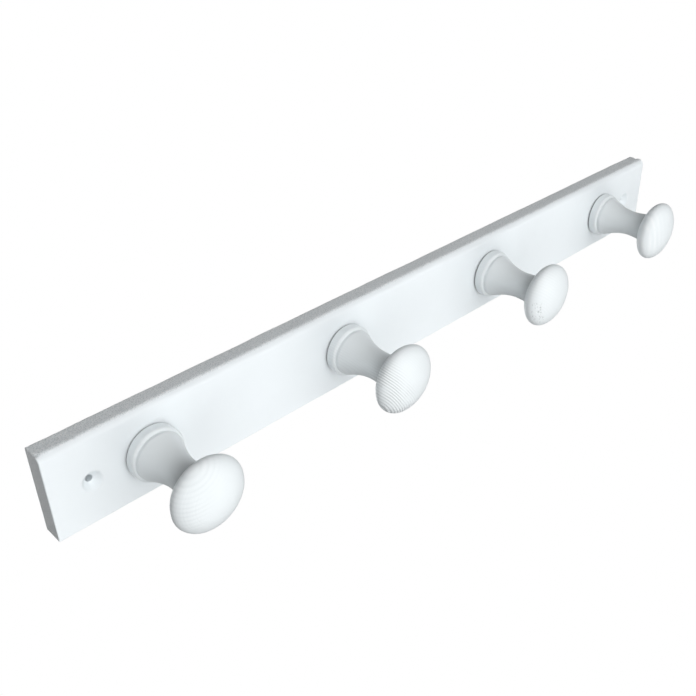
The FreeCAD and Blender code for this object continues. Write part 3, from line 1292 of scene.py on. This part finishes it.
    def pits(self, shape: np.ndarray) -> tuple[np.ndarray, np.ndarray]:
        """Small torn pits near the lower left of the rim, and the painted shade that sits in them.

        Args:
            shape: positions from the peg's own axis.

        Returns:
            Depth and painted shade, one of each a point.
        """
        depth = np.zeros(shape.shape[:2])
        rng = np.random.default_rng(self.blank.seed + 77)
        rim = self.length - self.crown
        for _ in range(self.blank.pits):
            angle = math.radians(rng.uniform(*self.blank.pit_angle))
            radius = self.head * rng.uniform(*self.blank.pit_place)
            out = rim + self.crown * math.sqrt(1 - (radius / self.head) ** 2)
            centre = (radius * math.cos(angle), -out, radius * math.sin(angle))
            size = rng.uniform(*self.blank.pit_size)
            depth += Dent(centre, size, rng.uniform(*self.blank.pit_depth)).at(shape)
        # painted shade in each pit, darker the deeper it is
        full_depth, darkest = 0.4 * MM, 0.4
        return depth, np.clip(depth / full_depth, 0, 1) * darkest

    def build(self, material: bpy.types.Material) -> None:
        """Makes the peg's piece in this finish."""
        finish_piece("turned_" + self.node, self.surface(), self.node, material, crease=50.0)


# --- Screws ---
@dataclass
class Screw(Turned):
    """A countersunk wood screw: one surface r(turn, distance) with a ridge that climbs with the turn.

    Fields:
        land: straight edge of the head.
        burr: how far its corner is broken.
        shank: radius of the smooth part.
        core: radius under the thread.
        crest: radius over the thread.
        thread: length of the thread.
        pitch: of the thread.
        tip: length of the point.
        recess_span: half the width of the cross at the face.
        recess_wing: half the width of one blade.
        recess_depth: of the cross.
        segments: facets round the screw.
    """

    land: float = 0.4 * MM
    burr: float = 0.12 * MM
    shank: float = 1.6 * MM
    core: float = 1.45 * MM
    crest: float = 2.25 * MM
    thread: float = 25.0 * MM
    pitch: float = 2.2 * MM
    tip: float = 5.0 * MM
    recess_span: float = 2.3 * MM
    recess_wing: float = 0.5 * MM
    recess_depth: float = 2.3 * MM
    segments: int = 96

    def face(self, turn: np.ndarray) -> np.ndarray:
        """The head's flat face with its cross recess, as rings from the centre out.

        A point (u, v) of the face lies in a blade if one of |u|, |v| is under the blade's half width
        and the other is under the tapering half span; the sunk depth is the softened smaller margin.

        Args:
            turn: the turns round the axis.

        Returns:
            Ring by ring, rows of (across, depth, up).
        """
        radius = np.linspace(0.05, 1.0, 34)[:, None] * (self.head - self.burr)
        u, v = radius * np.cos(turn), radius * np.sin(turn)
        small = np.minimum(np.abs(u), np.abs(v))
        large = np.maximum(np.abs(u), np.abs(v))
        steep, soft, dish = 3.0, 0.05 * MM, 0.03 * MM
        into = np.minimum((self.recess_wing - small) * steep * 2, (self.recess_span - large) * steep)
        depth = np.minimum(softplus(into, soft), self.recess_depth)
        dome = dish * (radius / self.head) ** 2
        return revolve(radius, depth + dome, turn)

    def body(self, turn: np.ndarray) -> np.ndarray:
        """The head's edge, cone, shank, thread and point.

        The thread is r = core + (crest - core) * tent(distance / pitch - turn / 2 pi), with a tent
        that is narrow at its top, faded in at the thread's start and down to nothing at the tip.

        Args:
            turn: the turns round the axis.

        Returns:
            Ring by ring, rows of (across, depth, up).
        """
        cone_end = self.land + self.head - self.shank
        start = self.length - self.thread
        line = np.concatenate([
            [[self.head, self.burr], [self.head, self.land]],
            straight((self.head, self.land), (self.shank, cone_end), 7),
            straight((self.shank, cone_end), (self.shank, start), 6),
        ])
        place = np.linspace(start, self.length, 260)[1:-1]
        phase = (place[:, None] / self.pitch - turn[None, :] / math.tau) % 1.0
        peak, slope = 1.35, 4.2
        tent = np.clip(peak - slope * np.abs(phase - 0.5), 0.0, 1.0)
        point = np.clip((self.length - place) / self.tip, 0.02, 1.0)
        run_in = smoothstep(start, start + self.pitch, place)
        core = self.core * point
        ridge = (self.crest - self.core) * point * run_in
        threaded = revolve(core[:, None] + ridge[:, None] * tent, place, turn)
        return np.concatenate([revolve(*line.T, turn), threaded])

    def surface(self) -> Surface:
        """The whole screw as one closed surface.

        Returns:
            The surface.
        """
        turn = np.linspace(0, math.tau, self.segments, endpoint=False)
        rings = np.concatenate([self.face(turn), self.body(turn)])
        return self.closed(rings, (self.recess_depth, self.length), np.zeros(rings.shape[:2]))

    def build(self, material: bpy.types.Material) -> None:
        """Makes the screw's piece in this finish."""
        name = "wood_screw_" + self.node[-1]
        finish_piece(name, self.surface(), self.node, material, crease=30.0)


# --- The whole rail ---
# each peg's painted shade in its throat; the first peg, nearest the board's end, gets the most
BLANKS = (
    Blank(Grain.BROAD_ARCS, 101, painted_shade=0.5, shade_reach=13.0 * MM),
    Blank(Grain.FINE_RIDGES, 202),
    Blank(Grain.PITTED, 303, pits=46),
    Blank(Grain.UPRIGHT_BANDS, 404, painted_shade=0.2),
)


@dataclass
class CoatRail:
    """The board with its pegs and their screws.

    Fields:
        blanks: the wood of each peg, from left to right.
    """

    blanks: tuple[Blank, ...] = BLANKS

    def build(self) -> None:
        """Makes every piece and dresses it."""
        Board().build(BOARD_PAINT.make())
        zinc = ZINC.make()
        for number, blank in enumerate(self.blanks, start=1):
            peg = Peg(f"peg_{number}", blank)
            peg.build(PEG_PAINT.make(blank.grain.value, (peg.axis_x, peg.axis_z)))
            Screw(f"peg_screw_{number}").build(zinc)


# --- Studio ---
def stand(
    thing: bpy.types.Object, azimuth: float, elevation: float, distance: float,
    aim: Triple = (0.0, 0.0, 0.0), roll: float = 0.0,
) -> None:
    """Puts a light or the camera into the scene, looking at the rail.

    It stands back along (sin a cos e, -cos a cos e, sin e) from what it looks at.

    Args:
        thing: the light or camera.
        azimuth: degrees a round the rail; 0 is towards -Y and 90 towards +X.
        elevation: degrees e above the horizon.
        distance: from what it looks at.
        aim: what it looks at.
        roll: degrees it leans.
    """
    a, e = math.radians(azimuth), math.radians(elevation)
    back = Vector((math.sin(a) * math.cos(e), -math.cos(a) * math.cos(e), math.sin(e)))
    lean = Quaternion((0.0, 0.0, 1.0), math.radians(roll))
    thing.location = Vector(aim) + back * distance
    thing.rotation_mode = "QUATERNION"
    thing.rotation_quaternion = (-back).to_track_quat("-Z", "Y") @ lean
    bpy.context.scene.collection.objects.link(thing)


@dataclass(frozen=True)
class Softbox:
    """One square soft light that points at the rail.

    Fields:
        name: the light's name.
        azimuth: degrees round the rail; 0 is straight in front, positive to the right.
        elevation: degrees above the level of the rail.
        power: in watts.
        distance: from the rail.
        size: of its side.
    """

    name: str
    azimuth: float
    elevation: float
    power: float
    distance: float = 2.0
    size: float = 1.6

    def place(self) -> None:
        """Puts the light into the scene."""
        light = bpy.data.lights.new(self.name, "AREA")
        light.shape = "SQUARE"
        light.size = self.size
        light.energy = self.power
        stand(bpy.data.objects.new(self.name, light), self.azimuth, self.elevation, self.distance)


@dataclass(frozen=True)
class Viewpoint:
    """Where the camera stands.

    Fields:
        azimuth: degrees round the rail; negative is to the left.
        elevation: degrees above the horizon.
        roll: degrees it leans.
        distance: from what it looks at.
        aim: what it looks at.
        lens: focal length in millimetres on a 36 mm wide sensor.
    """

    azimuth: float
    elevation: float
    roll: float
    distance: float
    aim: Triple
    lens: float

    def place(self) -> None:
        """Puts the camera into the scene and makes it the scene's camera."""
        data = bpy.data.cameras.new("camera")
        data.lens = self.lens
        data.sensor_width = 36.0
        camera = bpy.data.objects.new("camera", data)
        stand(camera, self.azimuth, self.elevation, self.distance, self.aim, self.roll)
        bpy.context.scene.camera = camera


@dataclass
class Studio:
    """A pale floor that sweeps up into a closed backdrop, a few soft lights and the camera.

    Fields:
        floor_z: height of the floor.
        floor_radius: how far it is flat.
        sweep: radius of the curve up into the wall.
        height: of the wall.
        glow: brightness of the floor and wall.
        ambient: brightness of the air all round.
        facets: round the wall.
    """

    floor_z: float = -0.9
    floor_radius: float = 5.0
    sweep: float = 2.0
    height: float = 6.0
    glow: float = 1.0
    ambient: float = 0.168
    facets: int = 64

    def cove(self) -> None:
        """Makes floor and backdrop as one profile turned about Z: disc, quarter circle, wall, ceiling."""
        turn = np.linspace(0, math.pi / 2, 13)
        wall = self.floor_radius + self.sweep
        radius = np.concatenate([[0.001], self.floor_radius + self.sweep * np.sin(turn), [wall, 0.001]])
        height = np.concatenate([[0.0], self.sweep * (1 - np.cos(turn)), [self.height, self.height]])
        around = np.linspace(0, math.tau, self.facets, endpoint=False)
        points = np.stack([
            radius[:, None] * np.cos(around),
            radius[:, None] * np.sin(around),
            np.repeat(height[:, None] + self.floor_z, self.facets, 1),
        ], -1).reshape(-1, 3)
        mesh = bpy.data.meshes.new("floor")
        mesh.from_pydata(points.tolist(), [], grid_quads(len(radius), self.facets).tolist())
        mesh.shade_smooth()
        paper = bpy.data.materials.new("pale_paper")
        paper.use_nodes = True
        tree = paper.node_tree
        tree.nodes.clear()
        glow = tree.nodes.new("ShaderNodeEmission")
        glow.inputs["Color"].default_value = (1.0, 1.0, 1.0, 1.0)
        glow.inputs["Strength"].default_value = self.glow
        tree.links.new(glow.outputs[0], tree.nodes.new("ShaderNodeOutputMaterial").inputs["Surface"])
        mesh.materials.append(paper)
        floor = bpy.data.objects.new("floor", mesh)
        for ray in ("visible_diffuse", "visible_glossy", "visible_shadow", "visible_transmission"):
            setattr(floor, ray, False)
        bpy.context.scene.collection.objects.link(floor)

    def air(self) -> None:
        """Sets the even light that comes from all round."""
        world = bpy.data.worlds.new("air")
        world.use_nodes = True
        background = world.node_tree.nodes["Background"]
        background.inputs["Color"].default_value = (1.0, 1.0, 1.0, 1.0)
        background.inputs["Strength"].default_value = self.ambient
        bpy.context.scene.world = world

    def build(self) -> None:
        """Makes the floor, the lights and the camera."""
        self.cove()
        self.air()
        for softbox in (
            Softbox("front_softbox", 16.0, 6.0, 14.2),
            Softbox("left_softbox", -42.0, 5.0, 11.3),
            Softbox("low_softbox", 14.0, -40.0, 11.6),
            Softbox("high_softbox", -4.0, 46.0, 18.5),
            Softbox("rear_softbox", 180.0, -24.0, 17.0),
        ):
            softbox.place()
        Viewpoint(
            azimuth=-42.706, elevation=32.055, roll=-1.863, distance=0.61286,
            aim=(-0.07529, -0.015, -0.00291), lens=45.93,
        ).place()
        bpy.context.scene.view_settings.view_transform = "Standard"


def main() -> None:
    """Builds the rail and its studio."""
    logging.basicConfig(level=logging.INFO, format="%(message)s")
    CoatRail().build()
    Studio().build()


if __name__ == "__main__":
    main()
